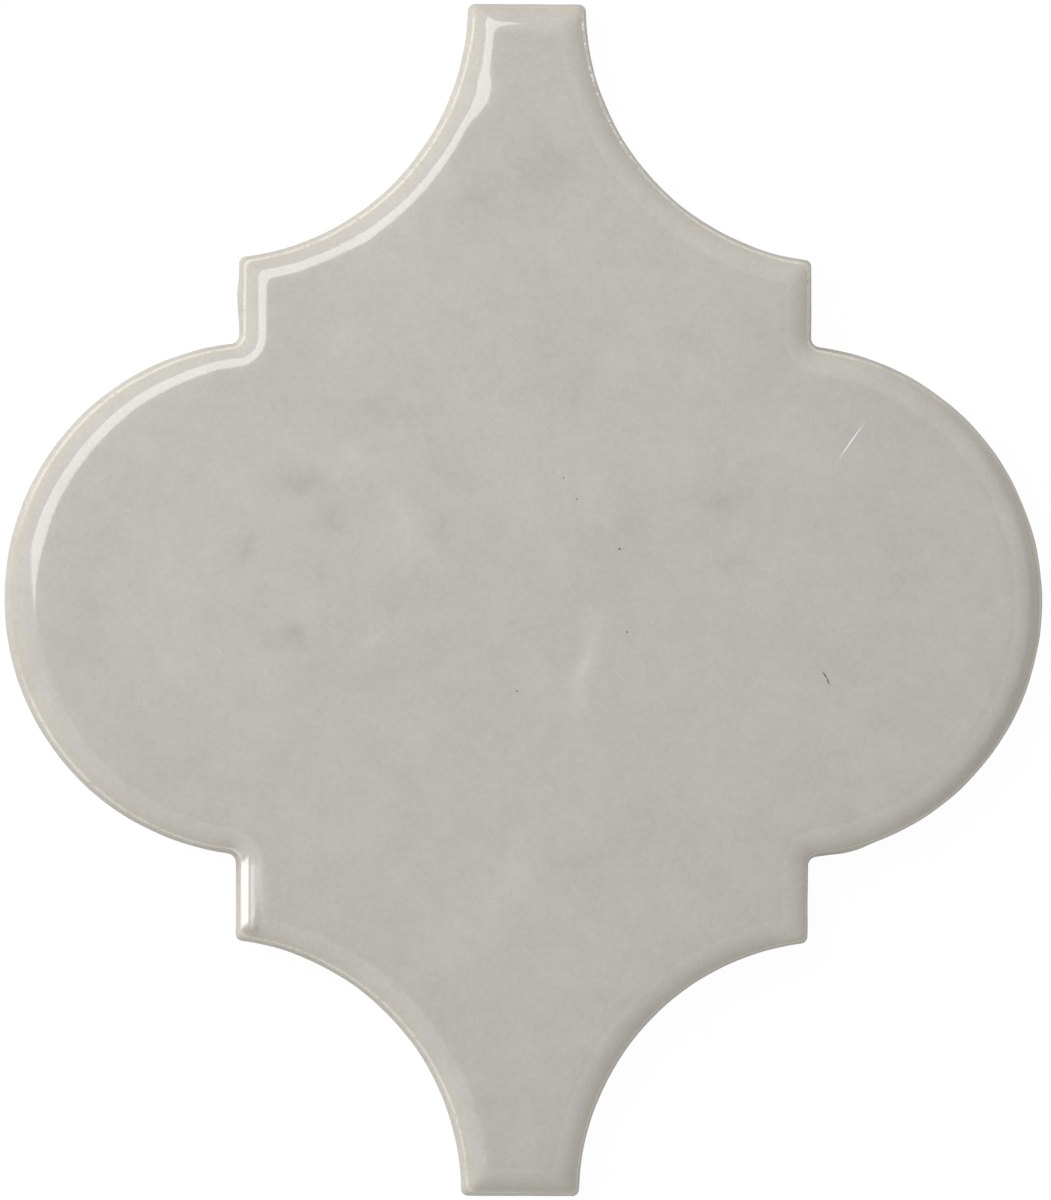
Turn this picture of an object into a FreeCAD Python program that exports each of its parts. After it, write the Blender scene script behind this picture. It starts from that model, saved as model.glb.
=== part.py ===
import FreeCAD, Part
import math
import os
import Sketcher

# Arabesque wall tile, pressed from clay, glazed and fired as one piece.
# It lies on its back: Z = 0 is the face that is bonded to the wall, the glazed face looks
# up along +Z, and the two necks point along +Y and -Y. The origin is the middle of the back.

SIZES = {
    # The outline at the back, where the tile is widest.
    "tile_width": 132.4,  # over the two lobes
    "tile_height": 152.0,  # from neck end to neck end
    "neck_width": 15.0,  # across a neck end
    "shoulder_width": 73.0,  # across the straight steps
    "lobe_height": 65.2,  # of a lobe, where it meets the steps
    "step_length": 10.9,  # of each straight step
    "tip_radius": 0.9,  # rounding of the outward corners
    "root_radius": 1.2,  # rounding of the inward corners, between step and lobe
    # The section through the edge.
    "thickness": 8.0,
    "wall_inset": 0.5,  # how far the drafted side wall leans in
    "rim_drop": 1.25,  # from the face down to the top of the side wall
    "rim_width": 2.6,  # of the sloping rim, seen from above
    "rim_blend": 6.0,  # radius that eases the rim into the face
    "rim_edge": 0.5,  # radius between side wall and rim
    "face_tip_radius": 1.6,  # rounding of the face's own outward corners
    # The grooves pressed into the back for the adhesive to key into.
    "key_margin": 5.0,  # plain border round the grooves
    "key_pitch": 10.0,
    "key_width": 5.0,  # of a groove at its mouth
    "key_slope": 0.4,  # how far each side of a groove leans in
    "key_depth": 0.6,
}

doc = FreeCAD.newDocument("arabesque_tile")
sheet = doc.addObject("Spreadsheet::Sheet", "size")
for row, (name, value) in enumerate(SIZES.items(), start=1):
    sheet.set(f"A{row}", name)
    sheet.set(f"B{row}", str(value))
    sheet.setAlias(f"B{row}", name)
doc.recompute()

# A lobe is one arc, square to the width at its tip and ending on the steps.
# A hollow is one arc too, square to the neck end and ending on the tip of a step.
LOBE_REACH = "(size.tile_width - size.shoulder_width) / 2"
LOBE_RADIUS = f"(({LOBE_REACH})^2 + (size.lobe_height / 2)^2) / (2 * {LOBE_REACH})"
LOBE_X = f"size.tile_width / 2 - {LOBE_RADIUS}"
HOLLOW_RUN = "(size.shoulder_width - size.neck_width) / 2"
HOLLOW_DROP = "(size.tile_height - size.lobe_height) / 2 - size.step_length"
HOLLOW_RADIUS = f"(({HOLLOW_RUN})^2 + ({HOLLOW_DROP})^2) / (2 * {HOLLOW_RUN})"
HOLLOW_X = f"size.neck_width / 2 + {HOLLOW_RADIUS}"
HOLLOW_Y = "size.tile_height / 2"

# The 24 segments of an outline, counter-clockwise from the right lobe's upper end.
SEGMENTS = 2 * [
    "root", "step", "tip", "hollow", "neck", "end",
    "neck", "hollow", "tip", "step", "root", "lobe",
]
STRAIGHT = ("step", "end")
CLOCKWISE = ("root", "hollow")
# The numbers that a sketch gives to the points of a segment, and to its own axes and origin.
START, END, CENTRE = range(1, 4)
Y_AXIS, X_AXIS = range(-2, 0)
ORIGIN = (X_AXIS, START)
UP = FreeCAD.Vector(0, 0, 1)
TOUCH = 1e-5


def number(expression):
    return float(sheet.evalExpression(expression))


def toward(start, target, distance):
    return start + (target - start).normalize() * distance


def origin_feature(body, role):
    return next(feature for feature in body.Origin.OriginFeatures if feature.Role == role)


def new_sketch(body, name, role):
    sketch = body.newObject("Sketcher::SketchObject", name)
    sketch.AttachmentSupport = [(origin_feature(body, role), "")]
    sketch.MapMode = "FlatFace"
    return sketch


def constrain(sketch, kind, *places):
    return sketch.addConstraint(Sketcher.Constraint(kind, *places))


def dimension(sketch, name, kind, places, expression):
    index = constrain(sketch, kind, *places, number(expression))
    sketch.renameConstraint(index, name)
    sketch.setExpression(f"Constraints.{name}", expression)


def outline_start(inset, tip_radius):
    """End points and arc centres of the 24 segments, with the outline moved inwards by inset."""
    lobe_radius = number(LOBE_RADIUS) - inset
    hollow_radius = number(HOLLOW_RADIUS) + inset
    root_radius = number("size.root_radius") + inset
    step_x = number("size.shoulder_width / 2") - inset
    end_y = number("size.tile_height / 2") - inset

    lobe = FreeCAD.Vector(number(LOBE_X), 0)
    hollow = FreeCAD.Vector(number(HOLLOW_X), number(HOLLOW_Y))
    root = FreeCAD.Vector(step_x + root_radius, 0)
    root.y = math.sqrt((lobe_radius + root_radius) ** 2 - (root.x - lobe.x) ** 2)
    tip = FreeCAD.Vector(step_x - tip_radius, 0)
    tip.y = hollow.y - math.sqrt((hollow_radius + tip_radius) ** 2 - (hollow.x - tip.x) ** 2)
    neck = FreeCAD.Vector(0, end_y - tip_radius)
    neck.x = hollow.x - math.sqrt((hollow_radius + tip_radius) ** 2 - (hollow.y - neck.y) ** 2)

    quarter_points = [
        toward(lobe, root, lobe_radius),
        FreeCAD.Vector(step_x, root.y),
        FreeCAD.Vector(step_x, tip.y),
        toward(hollow, tip, hollow_radius),
        toward(hollow, neck, hollow_radius),
        FreeCAD.Vector(neck.x, end_y),
    ]
    quarter_centres = [root, None, tip, hollow, neck]
    points_across = [FreeCAD.Vector(-p.x, p.y) for p in reversed(quarter_points)]
    centres_across = [c and FreeCAD.Vector(-c.x, c.y) for c in reversed(quarter_centres)]
    half_points = quarter_points + points_across
    half_centres = quarter_centres + [None] + centres_across + [FreeCAD.Vector(-lobe.x, 0)]
    points = half_points + [-p for p in half_points]
    centres = half_centres + [c and -c for c in half_centres]
    return points, centres


def outline_sketch(body, name, height, inset, tip_radius):
    """The tile's outline at a height, moved inwards by inset; the last three are expressions."""
    sketch = new_sketch(body, name, "XY_Plane")
    sketch.setExpression("AttachmentOffset.Base.z", height)

    points, centres = outline_start(number(inset), number(tip_radius))
    places = {}
    first = []
    last = []
    for index, kind in enumerate(SEGMENTS):
        start = points[index]
        end = points[(index + 1) % len(points)]
        centre = centres[index]
        if kind in STRAIGHT:
            sketch.addGeometry(Part.LineSegment(start, end))
        else:
            ends = (end, start) if kind in CLOCKWISE else (start, end)
            angles = [math.atan2(p.y - centre.y, p.x - centre.x) for p in ends]
            circle = Part.Circle(centre, UP, start.distanceToPoint(centre))
            sketch.addGeometry(Part.ArcOfCircle(circle, *angles))
        places.setdefault(kind, []).append(index)
        first.append(END if kind in CLOCKWISE else START)
        last.append(START if kind in CLOCKWISE else END)

    for index in range(len(SEGMENTS)):
        following = (index + 1) % len(SEGMENTS)
        constrain(sketch, "Tangent", index, last[index], following, first[following])

    radii = {
        "lobe": f"{LOBE_RADIUS} - ({inset})",
        "hollow": f"{HOLLOW_RADIUS} + ({inset})",
        "root": f"size.root_radius + ({inset})",
        "tip": tip_radius,
        "neck": tip_radius,
    }
    for kind, expression in radii.items():
        leader = places[kind][0]
        dimension(sketch, f"{kind}_radius", "Radius", (leader,), expression)
        for index in places[kind][1:]:
            constrain(sketch, "Equal", leader, index)

    left_lobe, right_lobe = [(index, CENTRE) for index in places["lobe"]]
    constrain(sketch, "PointOnObject", *left_lobe, X_AXIS)
    constrain(sketch, "PointOnObject", *right_lobe, X_AXIS)
    dimension(sketch, "left_lobe_x", "DistanceX", left_lobe + ORIGIN, LOBE_X)
    dimension(sketch, "right_lobe_x", "DistanceX", ORIGIN + right_lobe, LOBE_X)

    upper_right, upper_left, lower_left, lower_right = [(index, CENTRE) for index in places["hollow"]]
    dimension(sketch, "hollow_x", "DistanceX", ORIGIN + upper_right, HOLLOW_X)
    dimension(sketch, "hollow_y", "DistanceY", ORIGIN + upper_right, HOLLOW_Y)
    constrain(sketch, "Symmetric", *upper_right, *upper_left, Y_AXIS)
    constrain(sketch, "Symmetric", *upper_right, *lower_left, *ORIGIN)
    constrain(sketch, "Symmetric", *upper_left, *lower_right, *ORIGIN)

    for index in places["step"]:
        constrain(sketch, "Vertical", index)
        on_step = (index, START)
        span = ORIGIN + on_step if points[index].x > 0 else on_step + ORIGIN
        dimension(sketch, f"step_{index}_x", "DistanceX", span, f"size.shoulder_width / 2 - ({inset})")
    for index in places["end"]:
        constrain(sketch, "Horizontal", index)
        on_end = (index, START)
        span = ORIGIN + on_end if points[index].y > 0 else on_end + ORIGIN
        dimension(sketch, f"end_{index}_y", "DistanceY", span, f"size.tile_height / 2 - ({inset})")
    return sketch


def rounded_edges(body, name, base, height, radius):
    """A fillet along the loop of edges that lies at one height; the last two are expressions."""
    level = number(height)
    loop = []
    for index, edge in enumerate(base.Shape.Edges, start=1):
        box = edge.BoundBox
        if max(abs(box.ZMin - level), abs(box.ZMax - level)) < TOUCH:
            loop.append(f"Edge{index}")
    fillet = body.newObject("PartDesign::Fillet", name)
    fillet.Base = (base, loop)
    fillet.setExpression("Radius", radius)
    body.Tip = fillet
    doc.recompute()
    return fillet


def pressed_blank():
    """The tile before its back is keyed: drafted side wall, sloping rim and flat face."""
    wall_top = "size.thickness - size.rim_drop"
    face_inset = "size.wall_inset + size.rim_width"
    body = doc.addObject("PartDesign::Body", "pressed_blank")
    back = outline_sketch(body, "back_outline", "0", "0", "size.tip_radius")
    wall = outline_sketch(body, "wall_outline", wall_top, "size.wall_inset", "size.tip_radius")
    face = outline_sketch(body, "face_outline", "size.thickness", face_inset, "size.face_tip_radius")
    doc.recompute()
    form = body.newObject("PartDesign::AdditiveLoft", "drafted_form")
    form.Profile = face
    form.Sections = [wall, back]
    form.Ruled = True
    body.Tip = form
    doc.recompute()
    eased = rounded_edges(body, "rim_blend", form, "size.thickness", "size.rim_blend")
    rounded_edges(body, "rim_edge", eased, wall_top, "size.rim_edge")
    return body


def key_field():
    """The part of the back, inside its plain border, that the grooves may fill."""
    body = doc.addObject("PartDesign::Body", "key_field")
    border = outline_sketch(body, "key_border", "0", "size.key_margin", "size.tip_radius")
    doc.recompute()
    field = body.newObject("PartDesign::Pad", "key_layer")
    field.Profile = border
    field.setExpression("Length", "size.key_depth")
    body.Tip = field
    doc.recompute()
    return body


def key_bars():
    """Straight bars with sloping sides across the whole width, evenly spaced about a middle land."""
    bars_a_side = "floor((size.tile_height / 2 - size.key_margin) / size.key_pitch)"
    first_place = f"{bars_a_side} * size.key_pitch - (size.key_pitch - size.key_width) / 2"
    bottom_width = "size.key_width - 2 * size.key_slope"
    body = doc.addObject("PartDesign::Body", "key_bars")

    section = new_sketch(body, "bar_section", "YZ_Plane")
    outer = -number(first_place)
    inner = outer + number("size.key_width")
    slope = number("size.key_slope")
    depth = number("size.key_depth")
    corners = [
        FreeCAD.Vector(outer, 0),
        FreeCAD.Vector(inner, 0),
        FreeCAD.Vector(inner - slope, depth),
        FreeCAD.Vector(outer + slope, depth),
    ]
    mouth, inner_side, bottom, outer_side = range(len(corners))
    for line, start in enumerate(corners):
        section.addGeometry(Part.LineSegment(start, corners[(line + 1) % len(corners)]))
    for line in range(len(corners)):
        constrain(section, "Coincident", line, END, (line + 1) % len(corners), START)
    constrain(section, "PointOnObject", mouth, START, X_AXIS)
    constrain(section, "Horizontal", mouth)
    constrain(section, "Horizontal", bottom)
    constrain(section, "Equal", inner_side, outer_side)
    dimension(section, "first_place", "DistanceX", (mouth, START) + ORIGIN, first_place)
    dimension(section, "mouth_width", "DistanceX", (mouth, START, mouth, END), "size.key_width")
    dimension(section, "bottom_width", "DistanceX", (bottom, END, bottom, START), bottom_width)
    dimension(section, "groove_depth", "DistanceY", ORIGIN + (bottom, START), "size.key_depth")
    doc.recompute()

    bar = body.newObject("PartDesign::Pad", "first_bar")
    bar.Profile = section
    bar.setExpression("Length", "size.tile_width")
    bar.Midplane = True
    body.Tip = bar
    doc.recompute()
    bars = body.newObject("PartDesign::LinearPattern", "bar_pattern")
    bars.Originals = [bar]
    bars.Direction = (origin_feature(body, "Y_Axis"), [""])
    bars.Mode = "Spacing"
    bars.setExpression("Offset", "size.key_pitch")
    bars.setExpression("Occurrences", f"2 * {bars_a_side}")
    body.Tip = bars
    doc.recompute()
    return body


blank = pressed_blank()
grooves = doc.addObject("Part::Common", "key_grooves")
grooves.Base = key_field()
grooves.Tool = key_bars()
tile = doc.addObject("Part::Cut", "tile")
tile.Label = "arabesque_tile"
tile.Base = blank
tile.Tool = grooves
doc.recompute()

for thing in doc.Objects:
    if "Invalid" in thing.State or "Error" in thing.State:
        raise RuntimeError(f"{thing.Label} failed: {thing.State}")
if tile.Shape.isNull() or not tile.Shape.isValid() or len(tile.Shape.Solids) != 1:
    raise RuntimeError("the tile is not one sound solid")
if abs(blank.Shape.Volume - grooves.Shape.Volume - tile.Shape.Volume) > TOUCH * blank.Shape.Volume:
    raise RuntimeError("the grooves were not cut to their full depth")

os.makedirs("parts", exist_ok=True)
tile.Shape.exportStep(f"parts/{tile.Label}.step")
print(f"{tile.Label}: {tile.Shape.Volume / 1000:.1f} cm3, {tile.Shape.BoundBox}")
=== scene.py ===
import math

import bmesh
import bpy
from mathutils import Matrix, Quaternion, Vector


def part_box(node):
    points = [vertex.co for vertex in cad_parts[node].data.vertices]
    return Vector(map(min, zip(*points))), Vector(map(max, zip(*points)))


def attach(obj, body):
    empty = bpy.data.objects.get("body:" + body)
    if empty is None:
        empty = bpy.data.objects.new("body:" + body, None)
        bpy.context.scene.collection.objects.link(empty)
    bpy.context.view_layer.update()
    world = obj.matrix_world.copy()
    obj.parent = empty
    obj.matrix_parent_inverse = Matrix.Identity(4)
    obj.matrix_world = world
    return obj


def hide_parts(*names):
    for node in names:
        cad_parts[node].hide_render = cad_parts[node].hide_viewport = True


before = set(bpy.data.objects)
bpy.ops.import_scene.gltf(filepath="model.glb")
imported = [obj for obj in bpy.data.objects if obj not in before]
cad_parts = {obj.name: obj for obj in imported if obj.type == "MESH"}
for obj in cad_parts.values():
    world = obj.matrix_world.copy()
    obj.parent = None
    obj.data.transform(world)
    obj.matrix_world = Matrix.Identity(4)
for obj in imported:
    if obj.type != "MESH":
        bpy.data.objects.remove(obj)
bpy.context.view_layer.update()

tileLow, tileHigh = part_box("arabesque_tile")
tileWidth = tileHigh.x - tileLow.x
tileHeight = tileHigh.y - tileLow.y
tileThick = tileHigh.z - tileLow.z
mm = 0.001
touch = 0.001 * mm  # how close counts as the same place
seam = 0.01 * mm  # points closer than this are merged
bpy.ops.object.select_all(action="DESELECT")  # the frame comes in selected
print("frame loaded", [round(side / mm, 1) for side in (tileWidth, tileHeight, tileThick)])

outline = {
    "neckWidth": 15.0 * mm,
    "shoulderWidth": 73.0 * mm,  # across the straight steps
    "lobeHeight": 65.2 * mm,  # where a lobe meets the steps
    "stepLength": 10.9 * mm,
    "tipRadius": 0.9 * mm,  # outward corners at the back
    "faceTipRadius": 1.6 * mm,  # and at the face
    "rootRadius": 1.2 * mm,  # inward corners
    "cornerCuts": 8,  # points along each round stretch of a quarter
    "hollowCuts": 56,
    "lobeCuts": 56,
    "straightCut": 0.8 * mm,  # spacing along the straight stretches
    "longEdge": 2.0 * mm,  # faces with a longer edge than this are cut
}
lobeReach = (tileWidth - outline["shoulderWidth"]) / 2
lobeRadius = (lobeReach ** 2 + (outline["lobeHeight"] / 2) ** 2) / (2 * lobeReach)
lobeMiddle = tileWidth / 2 - lobeRadius  # where the right lobe's arc has its centre
hollowRun = (outline["shoulderWidth"] - outline["neckWidth"]) / 2
hollowDrop = (tileHeight - outline["lobeHeight"]) / 2 - outline["stepLength"]
hollowRadius = (hollowRun ** 2 + hollowDrop ** 2) / (2 * hollowRun)

rim = {
    "wallLean": 0.5 * mm,  # the drafted wall leans in this far
    "wallTilt": math.radians(85.5),
    "wallCuts": 6,
    "edgeRadius": 0.4 * mm,
    "edgeCuts": 5,
    "tilt": math.radians(36.3),  # slope of the cushioned rim at its outer edge
    "run": 4.3 * mm,  # and how far in it takes to lie flat
    "ease": 1.7,
    "cuts": 24,
    "flatRun": 0.7 * mm,  # first flat ring, inside the rim
    "rightLobe": (1.0, 0.05),  # share of the rim's width at a lobe's root, and what its tip adds
    "leftLobe": (0.84, 0.45),
    "backMargin": 5.0 * mm,  # plain border round the keyed back
}


def rimProfile():
    # inset and height of each ring, from the back up and over onto the face
    arcs = []
    for cut in range(rim["edgeCuts"]):
        turn = rim["wallTilt"] - rim["tilt"]
        arcs.append((rim["wallTilt"] - turn * (cut + 0.5) / rim["edgeCuts"],
                     rim["edgeRadius"] * turn / rim["edgeCuts"]))
    for cut in range(rim["cuts"]):
        slope = rim["tilt"] * (1 - (cut + 0.5) / rim["cuts"]) ** rim["ease"]
        arcs.append((slope, rim["run"] / rim["cuts"] / math.cos(slope)))
    rise = sum(math.sin(slope) * length for slope, length in arcs)
    wallTop = tileThick - rise
    profile = [(rim["wallLean"] * cut / rim["wallCuts"], wallTop * cut / rim["wallCuts"])
               for cut in range(rim["wallCuts"] + 1)]
    for slope, length in arcs:
        inset, height = profile[-1]
        profile.append((inset + math.cos(slope) * length, height + math.sin(slope) * length))
    profile.append((profile[-1][0] + rim["flatRun"], tileThick))
    return profile


def rimHeight(inset):
    # height of the rim this far in from the outline
    for (near, low), (far, high) in zip(profile, profile[1:]):
        if near <= inset <= far:
            return low + (high - low) * (inset - near) / (far - near)
    return tileThick


def lineTo(start, end):
    # pulls the loose end of the outline along a straight stretch
    step = (end.x - start.x, end.y - start.y, 0)
    bpy.ops.mesh.extrude_vertices_move(TRANSFORM_OT_translate={"value": step})
    return end


def arcTo(start, centre, end, cuts):
    # spins the loose end of the outline round a centre
    fromCentre = start - centre
    toCentre = end - centre
    turn = math.atan2(fromCentre.x * toCentre.y - fromCentre.y * toCentre.x, fromCentre.dot(toCentre))
    bpy.ops.mesh.spin(steps=cuts, angle=-turn, center=(centre.x, centre.y, 0), axis=(0, 0, 1))
    return end


def toward(start, target, distance):
    return start + (target - start).normalized() * distance


def drawQuarter(side, lobeShare, inset, tipRadius):
    # a quarter of the outline, moved in by inset, from the neck end round to the lobe tip
    onRim = max(inset - rim["wallLean"], 0)
    lobe = Vector((lobeMiddle - lobeShare[1] * onRim, 0))
    hollow = Vector((outline["neckWidth"] / 2 + hollowRadius, tileHeight / 2))
    lobeArc = lobeRadius - (inset + (lobeShare[0] - 1) * onRim)
    hollowArc = hollowRadius + inset
    rootRadius = outline["rootRadius"] + inset
    stepX = outline["shoulderWidth"] / 2 - inset
    endY = tileHeight / 2 - inset

    root = Vector((stepX + rootRadius, 0))
    root.y = math.sqrt((lobeArc + rootRadius) ** 2 - (root.x - lobe.x) ** 2)
    tip = Vector((stepX - tipRadius, 0))
    tip.y = hollow.y - math.sqrt((hollowArc + tipRadius) ** 2 - (hollow.x - tip.x) ** 2)
    neck = Vector((0, endY - tipRadius))
    neck.x = hollow.x - math.sqrt((hollowArc + tipRadius) ** 2 - (hollow.y - neck.y) ** 2)

    def onSide(point):
        return Vector((side * point.x, point.y))

    pen = lineTo(Vector((0, endY)), onSide(Vector((neck.x, endY))))
    pen = arcTo(pen, onSide(neck), onSide(toward(hollow, neck, hollowArc)), outline["cornerCuts"])
    pen = arcTo(pen, onSide(hollow), onSide(toward(hollow, tip, hollowArc)), outline["hollowCuts"])
    pen = arcTo(pen, onSide(tip), onSide(Vector((stepX, tip.y))), outline["cornerCuts"])
    pen = lineTo(pen, onSide(Vector((stepX, root.y))))
    pen = arcTo(pen, onSide(root), onSide(toward(lobe, root, lobeArc)), outline["cornerCuts"])
    arcTo(pen, onSide(lobe), onSide(lobe + Vector((lobeArc, 0))), outline["lobeCuts"])


def pickPoints(test):
    # selects the points that pass a test on their place, in edit mode
    mesh = bmesh.from_edit_mesh(bpy.context.object.data)
    bpy.ops.mesh.select_mode(type="VERT")
    bpy.ops.mesh.select_all(action="DESELECT")
    for point in mesh.verts:
        point.select = test(point)
    mesh.select_flush(True)
    bmesh.update_edit_mesh(bpy.context.object.data)


def pickFaces(test):
    # selects the faces that pass a test, in edit mode
    mesh = bmesh.from_edit_mesh(bpy.context.object.data)
    bpy.ops.mesh.select_mode(type="FACE")
    bpy.ops.mesh.select_all(action="DESELECT")
    for face in mesh.faces:
        face.select = test(face)
    bmesh.update_edit_mesh(bpy.context.object.data)


profile = rimProfile()
rings = [(rim["backMargin"], 0)] + profile  # the border on the back comes first
lastInset = profile[-1][0]
tipGrowth = outline["faceTipRadius"] - outline["tipRadius"]
edgeTop = rimHeight(rim["wallLean"])  # where the wall ends and the rim begins
ringPoints = 3 + 3 * outline["cornerCuts"] + outline["hollowCuts"] + outline["lobeCuts"]  # in a quarter
bpy.ops.mesh.primitive_plane_add(size=mm)
tile = bpy.context.object
tile.name = "glazedTile"
bpy.ops.object.mode_set(mode="EDIT")
bpy.ops.mesh.delete(type="VERT")
for side, lobeShare in ((1, rim["rightLobe"]), (-1, rim["leftLobe"])):
    for ring, (inset, height) in enumerate(rings):
        tipRadius = outline["tipRadius"] + tipGrowth * inset / lastInset
        bpy.ops.mesh.select_all(action="DESELECT")
        bpy.ops.mesh.primitive_plane_add(size=mm, location=(0, tileHeight / 2 - inset, height))
        bpy.ops.mesh.merge(type="CENTER")  # leaves one point to draw with
        drawQuarter(side, lobeShare if ring else (1, 0), inset, tipRadius)
print("outline drawn", 2 * len(rings), "quarter rings")

for ring in range(2 * len(rings) - 1):  # a skin from each ring to the next
    if ring == len(rings) - 1:
        continue  # no skin from the last right ring to the first left one
    first = ring * ringPoints
    pickPoints(lambda point: first <= point.index < first + 2 * ringPoints)
    bpy.ops.mesh.bridge_edge_loops()
bpy.ops.mesh.select_all(action="SELECT")
bpy.ops.mesh.remove_doubles(threshold=seam)  # closes the seam down the middle


def cutAt(axis, place):
    # cuts the faces that are not hidden straight across one axis
    spot = [place if way == axis else 0 for way in range(3)]
    across = [1 if way == axis else 0 for way in range(3)]
    bpy.ops.mesh.select_all(action="SELECT")
    bpy.ops.mesh.bisect(plane_co=spot, plane_no=across)


def cutRows(axis, low, high, spacing):
    count = round((high - low) / spacing)
    for row in range(1, count):
        cutAt(axis, low + (high - low) * row / count)


stepTop = outline["lobeHeight"] / 2 + outline["stepLength"]
pickFaces(lambda face: max(side.calc_length() for side in face.edges) > outline["longEdge"])
bpy.ops.mesh.hide(unselected=True)
cutRows(0, -outline["neckWidth"] / 2, outline["neckWidth"] / 2, outline["straightCut"])
cutRows(1, outline["lobeHeight"] / 2, stepTop, outline["straightCut"])
bpy.ops.mesh.reveal(select=False)
bpy.ops.object.mode_set(mode="OBJECT")
mirror = tile.modifiers.new("lowerHalf", "MIRROR")
mirror.use_axis = (False, True, False)
mirror.merge_threshold = seam
bpy.ops.object.modifier_apply(modifier=mirror.name)
level = tile.data.attributes.new("level", "FLOAT", "POINT")  # height before the later shaping
level.data.foreach_set("value", [point.co.z for point in tile.data.vertices])
print("rim skinned", len(tile.data.polygons), "faces")

grid = {"spacing": 1.3 * mm}
bpy.ops.object.mode_set(mode="EDIT")
pickPoints(lambda point: point.co.z > tileThick - touch and point.is_boundary)
bpy.ops.mesh.edge_face_add()
bpy.ops.mesh.hide(unselected=True)
for axis, reach in ((0, tileWidth / 2), (1, tileHeight / 2)):
    cutRows(axis, -reach, reach, grid["spacing"])
bpy.ops.mesh.reveal(select=False)
print("face laid", len(bmesh.from_edit_mesh(tile.data).faces), "faces")

barFlat = {  # the rim lies flatter along the lower left step, in two narrow bands
    "bands": ((0.55 * mm, 1.5 * mm), (1.75 * mm, 2.3 * mm)),
    "tilt": math.radians(12.0),
    "turn": math.radians(4.2),  # and drops a little towards the lobe
    "low": -42.0 * mm,
    "high": -33.6 * mm,
    "taper": 2.4 * mm,
    "soften": 0.8 * mm,
}


def barLift(inset):
    # how far the rim has to rise there
    lift = 0
    for outer, inner in barFlat["bands"]:
        start = min(max(inset, outer), inner)
        lift += rimHeight(inner) - rimHeight(start) - (inner - start) * math.tan(barFlat["tilt"])
    return lift


def softMove(step, reach, falloff="SMOOTH"):
    # moves the picked points and draws those within reach along
    bpy.ops.transform.translate(value=step, use_proportional_edit=True,
                                proportional_edit_falloff=falloff, proportional_size=reach)


barWidth = barFlat["bands"][-1][1]
barSpot = Vector((-outline["shoulderWidth"] / 2, (barFlat["low"] + barFlat["high"]) / 2, edgeTop))
for inset, height in profile:
    if 0 < height and inset < barWidth:
        pickPoints(lambda point: abs(point.co.z - height) < touch and point.co.x < 0 and point.co.y < 0)
        bpy.ops.mesh.hide(unselected=True)  # only this ring moves
        pickPoints(lambda point: not point.hide and abs(point.co.x - barSpot.x - inset) < touch
                   and barFlat["low"] < point.co.y < barFlat["high"])
        softMove((0, 0, barLift(inset) * min(height / edgeTop, 1)), barFlat["taper"])
        bpy.ops.mesh.reveal(select=False)
pickPoints(lambda point: abs(point.co.y - barSpot.y) < (barFlat["high"] - barFlat["low"]) / 2 + touch
           and point.co.x < barSpot.x + barWidth + touch and point.co.z > edgeTop)
bpy.ops.transform.rotate(value=barFlat["turn"], orient_axis="X", center_override=barSpot,
                         use_proportional_edit=True, proportional_edit_falloff="SMOOTH",
                         proportional_size=barFlat["soften"])

picked = {  # which points a run or a dip takes hold of
    "drip": 0.8 * mm,
    "dent": 1.0 * mm,
    "dentDrop": 0.5,  # a dip's middle, in mm below the face
}
drips = [  # runs of glaze that stand out from the wall: place, push outwards and reach in mm
    {"place": (-36.5, 38.4), "push": (-0.22, 0), "reach": 3.0},
    {"place": (41.9, -31.6), "push": (0.03, -0.20), "reach": 3.0},
    {"place": (51.8, 29.0), "push": (0.05, 0.08), "reach": 2.6},
]
dents = [  # soft dips in the rim: place, depth and reach in mm
    {"place": (-7.8, 66.0), "depth": 0.32, "reach": 4.7},
    {"place": (-23.0, 46.1), "depth": 0.10, "reach": 4.5},
    {"place": (7.0, 74.8), "depth": 0.28, "reach": 9.0},
]
for drip in drips:
    place = Vector(drip["place"]) * mm
    pickPoints(lambda point: (point.co.xy - place).length < picked["drip"] and point.co.z < tileThick / 2)
    softMove((drip["push"][0] * mm, drip["push"][1] * mm, 0), drip["reach"] * mm)
pickPoints(lambda point: point.co.z > touch)
bpy.ops.mesh.hide(unselected=True)  # the back stays flat
for dent in dents:
    place = Vector((*dent["place"], tileThick / mm - picked["dentDrop"])) * mm
    pickPoints(lambda point: (point.co - place).length < picked["dent"])
    softMove((0, 0, -dent["depth"] * mm), dent["reach"] * mm)
bpy.ops.mesh.reveal(select=False)
levels = bmesh.from_edit_mesh(tile.data).verts.layers.float["level"]
edge = {
    "band": 0.45 * mm,  # how much of the rim counts as its edge
    # the right lobe's edge lies lower, most at its tip: it sinks once within each of these angles
    "sinkTurns": [math.radians(turn) for turn in range(66, 24, -4)],
    "sink": -0.057 * mm,
    "sinkReach": 1.5 * mm,
    "stretches": [  # others, by their corners in mm, how far they rise, and the reach of that
        {"low": (34, -44), "high": (38, -33), "rise": 0.16, "reach": 2.2},
        {"low": (34, 33), "high": (38, 44), "rise": 0.06, "reach": 1.5},
        {"low": (-8, -78), "high": (8, -73), "rise": -0.24, "reach": 3.2},
    ],
}


def onEdge(point):
    return edgeTop - touch < point[levels] < edgeTop + edge["band"]


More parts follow.
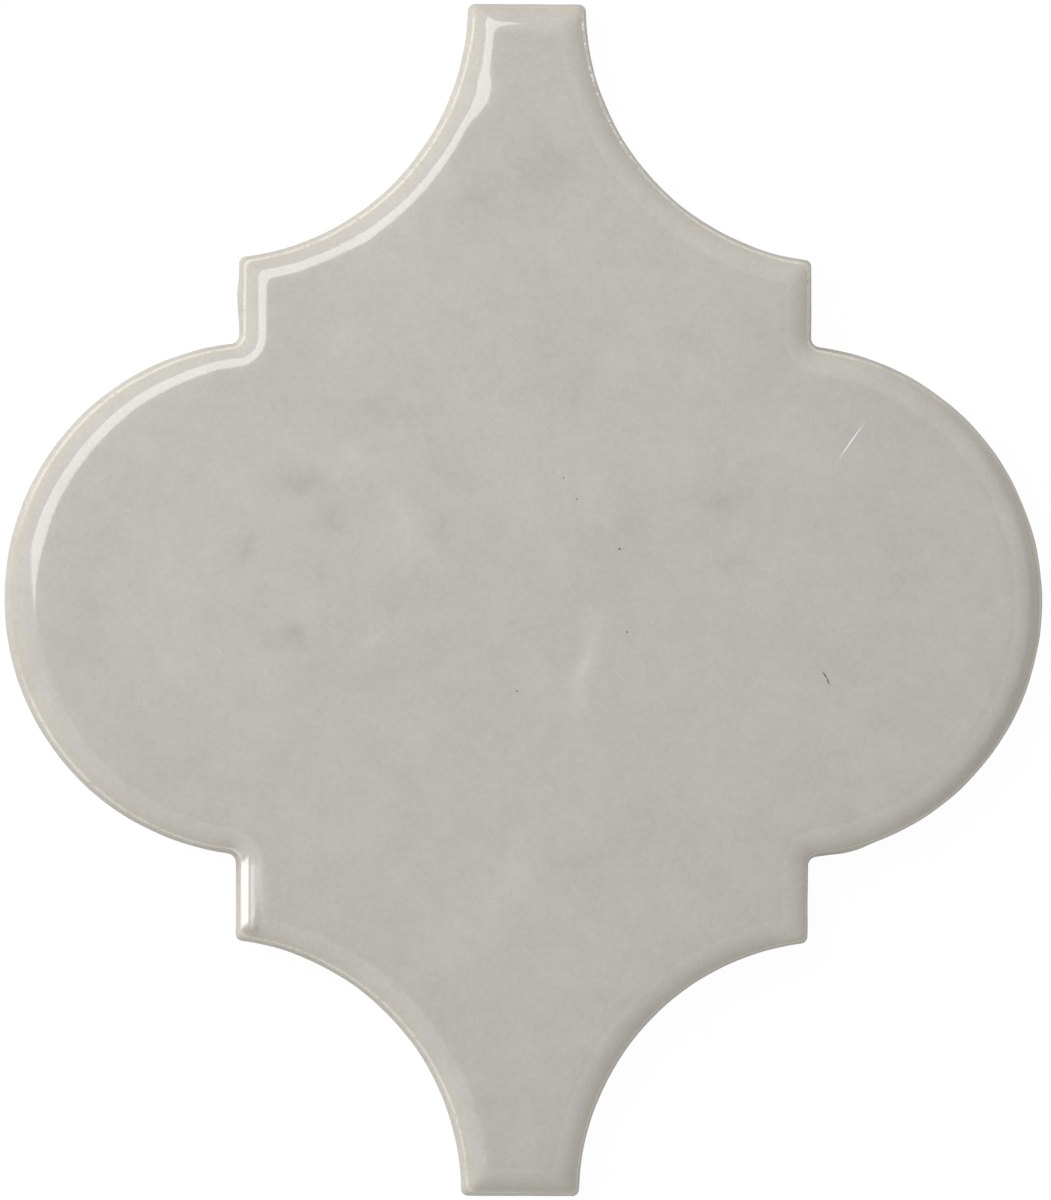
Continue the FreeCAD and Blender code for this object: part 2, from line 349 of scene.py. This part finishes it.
for turn in edge["sinkTurns"]:
    pickPoints(lambda point: point.co.x > 0 and onEdge(point)
               and abs(math.atan2(point.co.y, point.co.x - lobeMiddle)) < turn)
    softMove((0, 0, edge["sink"]), edge["sinkReach"], "SHARP")
for stretch in edge["stretches"]:
    low = Vector(stretch["low"]) * mm
    high = Vector(stretch["high"]) * mm
    pickPoints(lambda point: onEdge(point) and low.x < point.co.x < high.x
               and low.y < point.co.y < high.y)
    softMove((0, 0, stretch["rise"] * mm), stretch["reach"] * mm, "SHARP")
print("rim shaped")

bpy.ops.object.mode_set(mode="OBJECT")
relief = {
    "swell": 0.16 * mm, "swellSize": 21.0 * mm,  # slow waves of the glazed face
    "dimple": 0.05 * mm, "dimpleSize": 6.0 * mm,
    "wobble": 0.13 * mm, "wobbleSize": 5.0 * mm,  # uneven run of the edge
}


def addRelief(name, axis, strength, size, group):
    texture = bpy.data.textures.new(name, "CLOUDS")
    texture.noise_scale = size
    texture.noise_depth = 1
    lumps = tile.modifiers.new(name, "DISPLACE")
    lumps.texture = texture
    lumps.texture_coords = "LOCAL"
    lumps.direction = axis
    lumps.strength = strength
    lumps.mid_level = 0.5
    lumps.vertex_group = group
    bpy.ops.object.modifier_apply(modifier=name)


faceSkin = tile.vertex_groups.new(name="faceSkin")
wallSkin = tile.vertex_groups.new(name="wallSkin")
for point in tile.data.vertices:
    if point.co.z > edgeTop:
        share = (point.co.z - edgeTop) / (tileThick - edgeTop)
        faceSkin.add([point.index], share, "REPLACE")
        wallSkin.add([point.index], 1 - share, "REPLACE")
    else:
        wallSkin.add([point.index], 1, "REPLACE")
addRelief("swell", "Z", relief["swell"], relief["swellSize"], "faceSkin")
addRelief("dimple", "Z", relief["dimple"], relief["dimpleSize"], "faceSkin")
for axis, stretch in (("X", 1.0), ("Y", 1.13)):  # another size, so that the two differ
    addRelief("wobble" + axis, axis, relief["wobble"], relief["wobbleSize"] * stretch, "wallSkin")
print("glaze relief applied")

keys = {
    "pitch": 10.0 * mm,
    "width": 5.0 * mm,
    "slope": 0.4 * mm,  # each side of a groove leans in by this
    "depth": 0.6 * mm,
    "floorCut": 7.0 * mm,  # so that no floor is one long face
    "crease": math.radians(35),  # edges that turn more than this stay sharp
}
bpy.ops.object.mode_set(mode="EDIT")
pickPoints(lambda point: point.co.z < touch and point.is_boundary)
bpy.ops.mesh.edge_face_add()
bpy.ops.mesh.hide(unselected=True)
keyCount = int((tileHeight / 2 - rim["backMargin"]) / keys["pitch"] + 0.5)
keyRows = [(row + 0.5) * keys["pitch"] for row in range(-keyCount, keyCount)]
for row in keyRows:
    cutAt(1, row - keys["width"] / 2)
    cutAt(1, row + keys["width"] / 2)
bpy.ops.mesh.reveal(select=False)
bpy.ops.mesh.select_all(action="SELECT")
bpy.ops.mesh.normals_make_consistent(inside=False)
pickFaces(lambda face: all(v.co.z < touch for v in face.verts)
          and any(abs(face.calc_center_bounds().y - row) < keys["width"] / 4 for row in keyRows)
          and face.calc_area() > keys["width"] * keys["width"])
bpy.ops.mesh.inset(thickness=keys["slope"], depth=-keys["depth"])
bpy.ops.mesh.hide(unselected=True)
cutRows(0, -tileWidth / 2, tileWidth / 2, keys["floorCut"])
bpy.ops.mesh.reveal(select=False)
bpy.ops.object.mode_set(mode="OBJECT")
bpy.ops.object.shade_smooth_by_angle(angle=keys["crease"])
print("back keyed", len(tile.data.polygons), "faces")

look = {
    "face": (0.503, 0.482, 0.455, 1),
    "rim": (0.509, 0.469, 0.384, 1),  # thin glaze, the warm clay shows through
    "edge": (0.650, 0.615, 0.555, 1),  # almost bare along the edge
    "paintedGlint": (0.950, 0.935, 0.900, 1),  # painted glints in it
    "wall": (0.510, 0.488, 0.452, 1),
    "clay": (0.570, 0.525, 0.465, 1),
    # tone of the glaze
    "mottle": [(17.0, 0.10), (5.0, 0.10), (2.2, 0.08), (0.7, 0.13), (0.25, 0.22)],  # lump in mm, depth
    "cloudDepth": 2.6,
    "bendLump": 7.0 * mm,  # lumps that bend the outlines of the clouds
    "bend": 6.0 * mm,  # and how far
    "runLump": 0.6 * mm,  # runs down the wall, drawn out upright
    "runStretch": 0.12,
    "runDepth": 0.3,
    "markEdge": 2.5,  # how crisp the marks are
    # where it thins; heights are from the rim's outer edge
    "wallFade": (0.0, -0.3 * mm),
    "wallShare": 0.85,
    "rimFade": 2.5 * mm,  # inset where the glaze is at its full depth
    "unevenLump": 3.5 * mm,
    "uneven": 0.35 * mm,
    "streakLump": 0.8 * mm,
    "streak": 0.4 * mm,
    "edgeStart": (-0.02 * mm, 0.08 * mm),  # the pale line along the edge
    "edgeStop": (0.44 * mm, 0.32 * mm),
    "crumbLump": 0.6 * mm,  # gaps in it
    "crumbs": (0.30, 0.48),
    "thinWay": (-0.8, 0.4, 0),  # it is strongest towards the upper left
    "thinSpan": (-45.0 * mm, -10.0 * mm),
    "offEnd": (75.2 * mm, 73.8 * mm),  # and leaves out the upper end
    "offTip": (-66.0 * mm, -61.0 * mm),  # and the left lobe's tip
    "sparkLump": 0.5 * mm,  # the painted glints lie on the right side of the upper neck
    "sparks": (0.54, 0.60),
    "sparkAcross": (5.0 * mm, 7.0 * mm),
    "sparkUp": (54.0 * mm, 60.0 * mm),
    # bare clay
    "bareHeight": 1.0 * mm,  # the glaze stops about this far above the back
    "bareSoft": 0.1 * mm,
    "bareRagged": 2.2 * mm,
    "gritLump": 0.5 * mm,
    "grit": (0.5, 0.75),  # swing of its tone, and the darkest
    "clayRough": 0.9,
    "sandLump": 0.35 * mm,
    "sand": 0.12 * mm,
    # gloss
    "polishLump": 9.0 * mm,
    "polish": (0.05, 0.045),  # swing of the roughness, and the least
    "dullFade": (0.1 * mm, -0.4 * mm),
    "wallDull": 0.6,
    "skinLump": 1.1 * mm,
    "skin": 0.004 * mm,
}

clouds = [  # soft patches in the glaze: place, half sizes in mm, turn in degrees, tone
    {"place": (-19.0, 24.1), "size": (11.5, 3.4), "turn": 2, "tone": -0.030},
    {"place": (-28.5, 13.9), "size": (8.2, 4.0), "turn": -14, "tone": -0.049},
    {"place": (-24.6, 9.4), "size": (4.6, 3.0), "turn": 10, "tone": -0.041},
    {"place": (-36.1, 6.2), "size": (3.4, 3.4), "turn": 0, "tone": -0.049},
    {"place": (-30.3, -5.9), "size": (4.4, 2.8), "turn": -8, "tone": -0.051},
    {"place": (-25.2, 2.4), "size": (2.6, 3.2), "turn": 0, "tone": -0.030},
    {"place": (-10.3, 9.5), "size": (2.8, 4.6), "turn": 12, "tone": -0.035},
    {"place": (-16.7, -0.7), "size": (2.6, 2.3), "turn": 0, "tone": -0.030},
    {"place": (25.1, 12.5), "size": (4.3, 2.9), "turn": 0, "tone": -0.038},
    {"place": (26.8, 4.6), "size": (4.3, 3.6), "turn": 15, "tone": -0.038},
    {"place": (13.0, 9.6), "size": (5.6, 4.8), "turn": 0, "tone": -0.024},
    {"place": (-7.0, 51.6), "size": (5.8, 4.0), "turn": 20, "tone": -0.024},
    {"place": (3.2, 55.5), "size": (6.0, 3.6), "turn": 0, "tone": -0.022},
    {"place": (5.2, 28.1), "size": (10.0, 16.0), "turn": 0, "tone": -0.018},
    {"place": (6.9, -33.1), "size": (6.4, 4.6), "turn": 30, "tone": -0.018},
    {"place": (-55.6, -5.5), "size": (6.0, 12.0), "turn": 0, "tone": -0.018},
    {"place": (-45.0, -8.0), "size": (6.0, 3.6), "turn": -38, "tone": 0.034},
    {"place": (-15.7, 10.1), "size": (4.4, 10.5), "turn": 24, "tone": 0.035},
    {"place": (-18.8, -5.2), "size": (5.2, 4.0), "turn": 0, "tone": 0.030},
    {"place": (7.6, -8.2), "size": (2.5, 13.0), "turn": -7, "tone": 0.057},
    {"place": (-10.3, -44.7), "size": (5.0, 7.5), "turn": 0, "tone": 0.022},
    {"place": (-0.8, -35.1), "size": (4.4, 7.0), "turn": -35, "tone": 0.022},
    {"place": (-23.5, 33.0), "size": (8.5, 6.0), "turn": 0, "tone": 0.024},
    {"place": (-21.5, 18.4), "size": (4.6, 3.2), "turn": -20, "tone": 0.035},
    {"place": (0.0, 45.3), "size": (5.4, 2.8), "turn": 0, "tone": 0.022},
    {"place": (0.0, 54.0), "size": (13.0, 11.0), "turn": 0, "tone": -0.026},
    {"place": (-6.0, -37.0), "size": (28.0, 28.0), "turn": 0, "tone": 0.018},
    {"place": (-18.2, 5.7), "size": (8.0, 8.0), "turn": 0, "tone": 0.020},
    {"place": (29.6, 20.0), "size": (9.0, 9.0), "turn": 0, "tone": 0.015},
]

marks = [  # small faults in the face, in the words of the clouds, with a colour
    {"place": (41.45, 20.5), "size": (4.0, 0.13), "turn": 55.1, "colour": (0.90, 0.89, 0.87, 1)},
    {"place": (38.25, -9.35), "size": (0.75, 0.16), "turn": 128, "colour": (0.12, 0.11, 0.10, 1)},
    {"place": (38.65, -10.1), "size": (0.70, 0.15), "turn": 112, "colour": (0.12, 0.11, 0.10, 1)},
    {"place": (12.0, 6.6), "size": (0.24, 0.22), "turn": 0, "colour": (0.10, 0.10, 0.09, 1)},
    {"place": (6.5, 12.9), "size": (0.20, 0.18), "turn": 0, "colour": (0.18, 0.17, 0.15, 1)},
    {"place": (4.8, 15.6), "size": (0.20, 0.16), "turn": 30, "colour": (0.18, 0.17, 0.15, 1)},
    {"place": (13.0, -4.0), "size": (0.20, 0.20), "turn": 0, "colour": (0.20, 0.19, 0.17, 1)},
    {"place": (-1.0, -11.6), "size": (0.22, 0.18), "turn": 0, "colour": (0.18, 0.17, 0.15, 1)},
]

paintedHighlightStrips = [  # painted highlights along the lower left step's flat bands, on top of the softbox's own reflection there: place, half sizes, soft edges in mm
    {"place": (-35.45, -37.4), "size": (0.45, 4.2), "soft": (0.10, 0.4), "slant": -0.8,
     "colour": (0.92, 0.90, 0.87, 1)},
    {"place": (-34.5, -37.4), "size": (0.22, 4.0), "soft": (0.12, 1.0), "slant": -0.8,
     "colour": (0.64, 0.61, 0.57, 1)},
]


def newNode(tree, kind, settings=None, inputs=None):
    # adds a node, sets its options, and fills or links its sockets
    node = tree.nodes.new("ShaderNode" + kind)
    for name, value in (settings or {}).items():
        setattr(node, name, value)
    for plug, value in (inputs or {}).items():
        if isinstance(value, bpy.types.NodeSocket):
            tree.links.new(value, node.inputs[plug])
        else:
            node.inputs[plug].default_value = value
    return node


def sums(tree, operation, *values):
    return newNode(tree, "Math", {"operation": operation}, dict(enumerate(values))).outputs[0]


def fade(tree, value, start, end):
    # goes smoothly from 0 at start to 1 at end
    node = newNode(tree, "MapRange", {"interpolation_type": "SMOOTHSTEP"},
                   {"Value": value, "From Min": start, "From Max": end, "To Min": 0.0, "To Max": 1.0})
    return node.outputs["Result"]


def blendColour(tree, share, first, second):
    node = newNode(tree, "Mix", {"data_type": "RGBA"}, {0: share, 6: first, 7: second})
    return node.outputs[2]


def lumpy(tree, vector, size, detail=2.0):
    # noise from 0 to 1 with lumps of about this size
    node = newNode(tree, "TexNoise", {"noise_dimensions": "3D"},
                   {"Vector": vector, "Scale": 1 / size, "Detail": detail})
    return node.outputs["Fac"]


def patch(tree, vector, spot):
    # soft oval, 1 in the middle and 0 at its rim
    spread = newNode(tree, "Mapping", {"vector_type": "TEXTURE"}, {
        "Vector": vector,
        "Location": (spot["place"][0] * mm, spot["place"][1] * mm, 0),
        "Rotation": (0, 0, math.radians(spot["turn"])),
        "Scale": (spot["size"][0] * mm, spot["size"][1] * mm, 1)})
    return newNode(tree, "TexGradient", {"gradient_type": "QUADRATIC_SPHERE"},
                   {"Vector": spread.outputs[0]}).outputs["Fac"]


def strip(tree, vector, bar):
    # straight patch with slanted ends, 1 inside and 0 outside
    spot = newNode(tree, "VectorMath", {"operation": "SUBTRACT"},
                   {0: vector, 1: (bar["place"][0] * mm, bar["place"][1] * mm, 0)}).outputs[0]
    inside = 1.0
    ways = ((1, 0, 0), (bar["slant"], 1, 0))
    for way, half, soft in zip(ways, bar["size"], bar["soft"]):
        off = newNode(tree, "VectorMath", {"operation": "DOT_PRODUCT"}, {0: spot, 1: way})
        away = sums(tree, "ABSOLUTE", off.outputs["Value"])
        share = fade(tree, away, (half + soft) * mm, (half - soft) * mm)
        inside = sums(tree, "MULTIPLY", share, inside)
    return inside


def overEdge(span):
    # heights given from the rim's outer edge, as heights above the back
    return [edgeTop + rise for rise in span]


def makeGlaze():
    glaze = bpy.data.materials.new("greyGlaze")
    glaze.use_nodes = True
    tree = glaze.node_tree
    shader = tree.nodes["Principled BSDF"]
    where = newNode(tree, "TexCoord").outputs["Object"]
    height = newNode(tree, "Attribute", {"attribute_name": "level"}).outputs["Fac"]

    # tone of the glaze, clouds over clouds
    warp = newNode(tree, "TexNoise", {}, {"Vector": where, "Scale": 1 / look["bendLump"], "Detail": 2.0})
    shift = newNode(tree, "VectorMath", {"operation": "SUBTRACT"},
                    {0: warp.outputs["Color"], 1: (0.5, 0.5, 0.5)}).outputs[0]
    bent = newNode(tree, "VectorMath", {"operation": "MULTIPLY_ADD"},
                   {0: shift, 1: (look["bend"], look["bend"], 0), 2: where}).outputs[0]
    tone = 1.0
    for lump, depth in look["mottle"]:
        swing = sums(tree, "SUBTRACT", lumpy(tree, where, lump * mm), 0.5)
        tone = sums(tree, "MULTIPLY_ADD", swing, depth, tone)
    stretched = {"Vector": where, "Scale": (1, 1, look["runStretch"])}
    upright = newNode(tree, "Mapping", {}, stretched).outputs[0]
    runs = sums(tree, "SUBTRACT", lumpy(tree, upright, look["runLump"], 3.0), 0.5)
    onWall = fade(tree, height, *overEdge(look["wallFade"]))
    tone = sums(tree, "MULTIPLY_ADD", sums(tree, "MULTIPLY", runs, onWall), look["runDepth"], tone)
    for cloud in clouds:
        depth = cloud["tone"] * look["cloudDepth"]
        tone = sums(tree, "MULTIPLY_ADD", patch(tree, bent, cloud), depth, tone)

    # the glaze thins towards the edge and stops above the back
    uneven = sums(tree, "SUBTRACT", lumpy(tree, where, look["unevenLump"], 3.0), 0.5)
    streaks = sums(tree, "SUBTRACT", lumpy(tree, where, look["streakLump"], 3.0), 0.5)
    streaked = sums(tree, "MULTIPLY_ADD", streaks, look["streak"], height)
    glazeLevel = sums(tree, "MULTIPLY_ADD", uneven, look["uneven"], streaked)
    thin = fade(tree, glazeLevel, rimHeight(look["rimFade"]), edgeTop)
    colour = blendColour(tree, thin, look["face"], look["rim"])
    crumbs = fade(tree, lumpy(tree, where, look["crumbLump"], 3.0), *look["crumbs"])
    edgeLow = fade(tree, height, *overEdge(look["edgeStart"]))
    edgeHigh = fade(tree, height, *overEdge(look["edgeStop"]))
    lean = newNode(tree, "VectorMath", {"operation": "DOT_PRODUCT"}, {0: where, 1: look["thinWay"]})
    thinSide = fade(tree, lean.outputs["Value"], *look["thinSpan"])
    edgeLine = sums(tree, "MULTIPLY", edgeLow, edgeHigh)
    place = newNode(tree, "SeparateXYZ", {}, {0: where})
    offEnd = fade(tree, place.outputs["Y"], *look["offEnd"])
    offTip = sums(tree, "MULTIPLY", fade(tree, place.outputs["X"], *look["offTip"]), offEnd)
    bareEdge = sums(tree, "MULTIPLY", sums(tree, "MULTIPLY", edgeLine, crumbs),
                    sums(tree, "MULTIPLY", thinSide, offTip))
    colour = blendColour(tree, bareEdge, colour, look["edge"])
    # painted glints: near-white dots along the edge line on the right side of the upper neck
    onNeck = sums(tree, "MULTIPLY", fade(tree, place.outputs["X"], *look["sparkAcross"]),
                  sums(tree, "MULTIPLY", fade(tree, place.outputs["Y"], *look["sparkUp"]), offEnd))
    sparks = fade(tree, lumpy(tree, where, look["sparkLump"]), *look["sparks"])
    glintSpots = sums(tree, "MULTIPLY", sparks, onNeck)
    colour = blendColour(tree, sums(tree, "MULTIPLY", glintSpots, edgeLine), colour, look["paintedGlint"])
    colour = blendColour(tree, sums(tree, "MULTIPLY", onWall, look["wallShare"]), colour, look["wall"])
    colour = newNode(tree, "VectorMath", {"operation": "SCALE"}, {0: colour, "Scale": tone}).outputs[0]

    for mark in marks:
        spot = sums(tree, "MULTIPLY", patch(tree, where, mark), look["markEdge"])
        inside = newNode(tree, "Clamp", {}, {0: spot}).outputs[0]
        colour = blendColour(tree, inside, colour, mark["colour"])
    # painted highlights on the lower left step's flat bands
    for bar in paintedHighlightStrips:
        colour = blendColour(tree, strip(tree, where, bar), colour, bar["colour"])

    ragged = sums(tree, "MULTIPLY_ADD", uneven, look["bareRagged"], height)
    bare = fade(tree, ragged, look["bareHeight"] + look["bareSoft"], look["bareHeight"] - look["bareSoft"])
    grit = sums(tree, "MULTIPLY_ADD", lumpy(tree, where, look["gritLump"], 4.0), *look["grit"])
    clay = newNode(tree, "VectorMath", {"operation": "SCALE"},
                   {0: look["clay"][:3], "Scale": grit}).outputs[0]
    colour = blendColour(tree, bare, colour, clay)
    tree.links.new(colour, shader.inputs["Base Color"])

    polish = sums(tree, "MULTIPLY_ADD", lumpy(tree, where, look["polishLump"]), *look["polish"])
    wallDull = sums(tree, "MULTIPLY", fade(tree, height, *overEdge(look["dullFade"])), look["wallDull"])
    clayRough = sums(tree, "MULTIPLY", bare, look["clayRough"])
    rough = sums(tree, "MAXIMUM", sums(tree, "ADD", polish, wallDull), clayRough)
    tree.links.new(rough, shader.inputs["Roughness"])

    skin = sums(tree, "MULTIPLY", lumpy(tree, where, look["skinLump"]), look["skin"])
    sandy = sums(tree, "MULTIPLY", lumpy(tree, where, look["sandLump"], 4.0), bare)
    surface = sums(tree, "ADD", skin, sums(tree, "MULTIPLY", sandy, look["sand"]))
    bump = newNode(tree, "Bump", {}, {"Height": surface, "Distance": 1.0, "Strength": 1.0})
    tree.links.new(bump.outputs[0], shader.inputs["Normal"])
    return glaze


tile.data.materials.clear()
tile.data.materials.append(makeGlaze())
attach(tile, "root")
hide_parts("arabesque_tile")
print("glazed")

view = {
    "distance": 4.0,  # long lens, almost no perspective
    "frameHeight": 153.07 * mm,  # what the picture's height covers at the floor
    "aside": 0.26 * mm,
    "above": 0.02 * mm,
    "lean": math.radians(1.5),  # the camera stands a little to the left
    "roll": math.radians(0.33),
    "sensor": 36,
    "farthest": 20,
}
bpy.ops.object.camera_add(
    location=(view["aside"] - math.sin(view["lean"]) * math.cos(view["roll"]) * view["distance"],
              view["above"] - math.sin(view["lean"]) * math.sin(view["roll"]) * view["distance"],
              math.cos(view["lean"]) * view["distance"]),
    rotation=(0, -view["lean"], view["roll"]))
camera = bpy.context.object
camera.data.sensor_width = view["sensor"]
camera.data.lens = camera.data.sensor_width * view["distance"] / view["frameHeight"]
camera.data.clip_end = view["farthest"]
bpy.context.scene.camera = camera

lamps = {  # places in metres and degrees, power in watts, and whether the gloss mirrors the lamp
    "softbox": {"distance": 0.347, "zenith": 28.1, "azimuth": 124.7, "roll": 20.3, "size": (0.297, 0.094),
                "power": 0.435, "mirrored": True},
    "key": {"distance": 1.45, "zenith": 60.6, "azimuth": 160, "roll": 0, "size": (0.7, 0.7),
            "power": 10.2, "mirrored": False},
}
for name, lamp in lamps.items():
    zenith = math.radians(lamp["zenith"])
    azimuth = math.radians(lamp["azimuth"])
    towards = Vector((math.sin(zenith) * math.cos(azimuth), math.sin(zenith) * math.sin(azimuth),
                      math.cos(zenith)))
    facing = towards.to_track_quat("Z", "Y") @ Quaternion((0, 0, 1), math.radians(lamp["roll"]))
    bpy.ops.object.light_add(type="AREA", location=towards * lamp["distance"], rotation=facing.to_euler())
    light = bpy.context.object
    light.name = name
    light.data.shape = "RECTANGLE"
    light.data.size, light.data.size_y = lamp["size"]
    light.data.energy = lamp["power"]
    light.visible_camera = False
    light.visible_glossy = lamp["mirrored"]

studio = {
    "ambient": 0.508,
    "overhead": 0.12,  # dark ceiling round the camera, as the glaze mirrors it
    "overheadEdge": (math.cos(math.radians(15)), math.cos(math.radians(9))),
    "paper": (0.9, 0.9, 0.9, 1),
    "paperGlow": 0.94,  # the paper shows this much plain white, so the shadow stays faint
    "paperWhite": 1.02,
    "floorSize": 6,
}


def seenDirectly(tree):
    # 1 for what the camera, the gloss or glass sees, 0 for light on its way
    path = newNode(tree, "LightPath")
    seen = sums(tree, "MAXIMUM", path.outputs["Is Camera Ray"], path.outputs["Is Glossy Ray"])
    return sums(tree, "MAXIMUM", seen, path.outputs["Is Transmission Ray"])


world = bpy.data.worlds.new("studio")
bpy.context.scene.world = world
world.use_nodes = True
sky = world.node_tree
ambient = sky.nodes["Background"]
ambient.inputs["Color"].default_value = (1, 1, 1, 1)
ambient.inputs["Strength"].default_value = studio["ambient"]
up = newNode(sky, "SeparateXYZ", {}, {0: newNode(sky, "TexCoord").outputs["Generated"]}).outputs["Z"]
dim = fade(sky, up, *studio["overheadEdge"])
shown = sums(sky, "MULTIPLY_ADD", dim, studio["overhead"] - 1, 1.0)
backdrop = newNode(sky, "Background", {}, {"Color": (1, 1, 1, 1), "Strength": shown})
mixed = newNode(sky, "MixShader", {}, {0: seenDirectly(sky), 1: ambient.outputs[0], 2: backdrop.outputs[0]})
sky.links.new(mixed.outputs[0], sky.nodes["World Output"].inputs["Surface"])

bpy.ops.mesh.primitive_plane_add(size=studio["floorSize"])
floor = bpy.context.object
floor.name = "studioFloor"
paper = bpy.data.materials.new("whitePaper")
paper.use_nodes = True
sheet = paper.node_tree
matte = sheet.nodes["Principled BSDF"]
matte.inputs["Base Color"].default_value = studio["paper"]
matte.inputs["Roughness"].default_value = 1
matte.inputs["Specular IOR Level"].default_value = 0
glow = newNode(sheet, "Emission", {}, {"Color": (1, 1, 1, 1), "Strength": studio["paperWhite"]})
share = sums(sheet, "MULTIPLY", seenDirectly(sheet), studio["paperGlow"])
both = newNode(sheet, "MixShader", {}, {0: share, 1: matte.outputs[0], 2: glow.outputs[0]})
sheet.links.new(both.outputs[0], sheet.nodes["Material Output"].inputs["Surface"])
floor.data.materials.append(paper)
bpy.context.scene.view_settings.view_transform = "Standard"
print("studio set")
